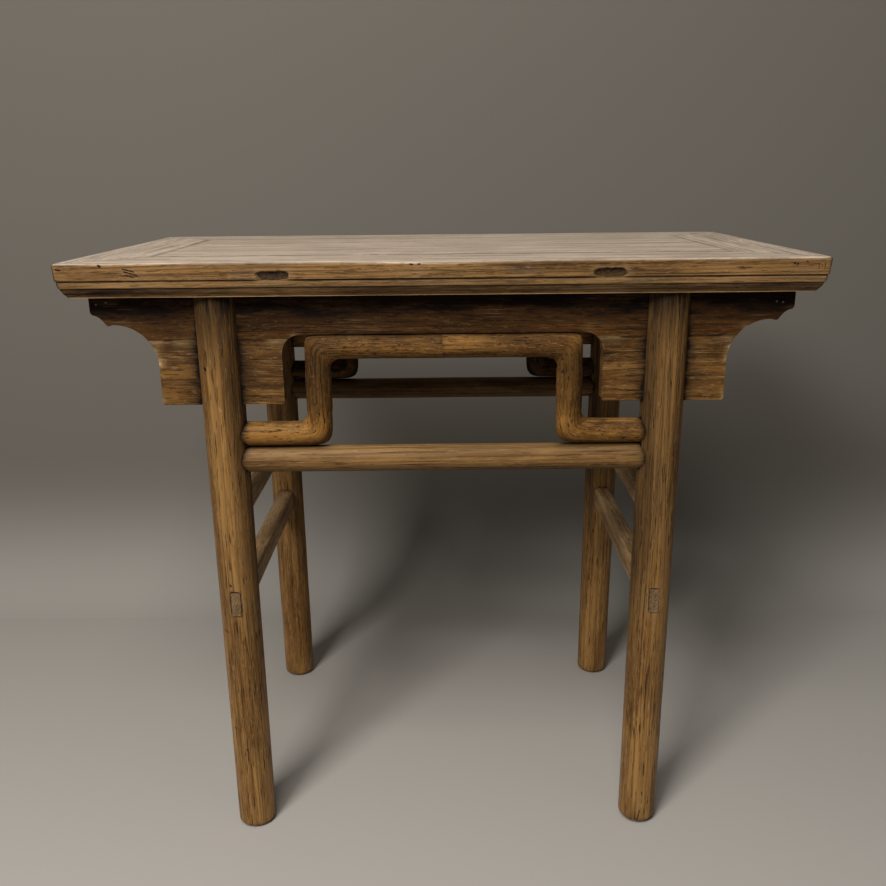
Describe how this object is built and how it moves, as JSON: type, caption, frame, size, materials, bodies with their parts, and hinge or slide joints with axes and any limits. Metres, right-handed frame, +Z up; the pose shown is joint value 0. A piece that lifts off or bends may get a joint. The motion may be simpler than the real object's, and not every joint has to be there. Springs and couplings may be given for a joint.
{
  "type": "altar table",
  "caption": "Rectangular wooden altar table with a framed panel top, round legs, cloud-headed aprons, humpback stretchers and side rails.",
  "frame": {"origin": "centre of the table's plan, on the floor", "axes": "+X along the table's length, +Y from its front to its back, +Z up"},
  "size_m": [0.977, 0.524, 0.85],
  "materials": {
    "weathered_elm": "old elm, dry and faded on top, golden brown along the moulded edge",
    "waxed_elm": "old elm, waxed and worn, golden brown with dark grain",
    "dark_elm": "old elm, waxed, dark brown with dirt in the grain"
  },
  "bodies": {
    "root": {"front_top_rail": "weathered_elm", "back_top_rail": "weathered_elm", "left_top_rail": "weathered_elm", "right_top_rail": "weathered_elm", "top_panel": "weathered_elm", "front_left_leg": "waxed_elm", "front_right_leg": "waxed_elm", "back_left_leg": "waxed_elm", "back_right_leg": "waxed_elm", "front_stretcher": "waxed_elm", "back_stretcher": "waxed_elm", "front_left_humpback": "waxed_elm", "front_right_humpback": "waxed_elm", "back_left_humpback": "waxed_elm", "back_right_humpback": "waxed_elm", "left_upper_rail": "waxed_elm", "right_upper_rail": "waxed_elm", "left_lower_rail": "waxed_elm", "right_lower_rail": "waxed_elm", "front_apron": "dark_elm", "back_apron": "dark_elm", "front_left_spandrel": "dark_elm", "front_right_spandrel": "dark_elm", "back_left_spandrel": "dark_elm", "back_right_spandrel": "dark_elm", "left_end_apron": "dark_elm", "right_end_apron": "dark_elm", "left_batten": "dark_elm", "right_batten": "dark_elm"}
  },
  "joints": []
}
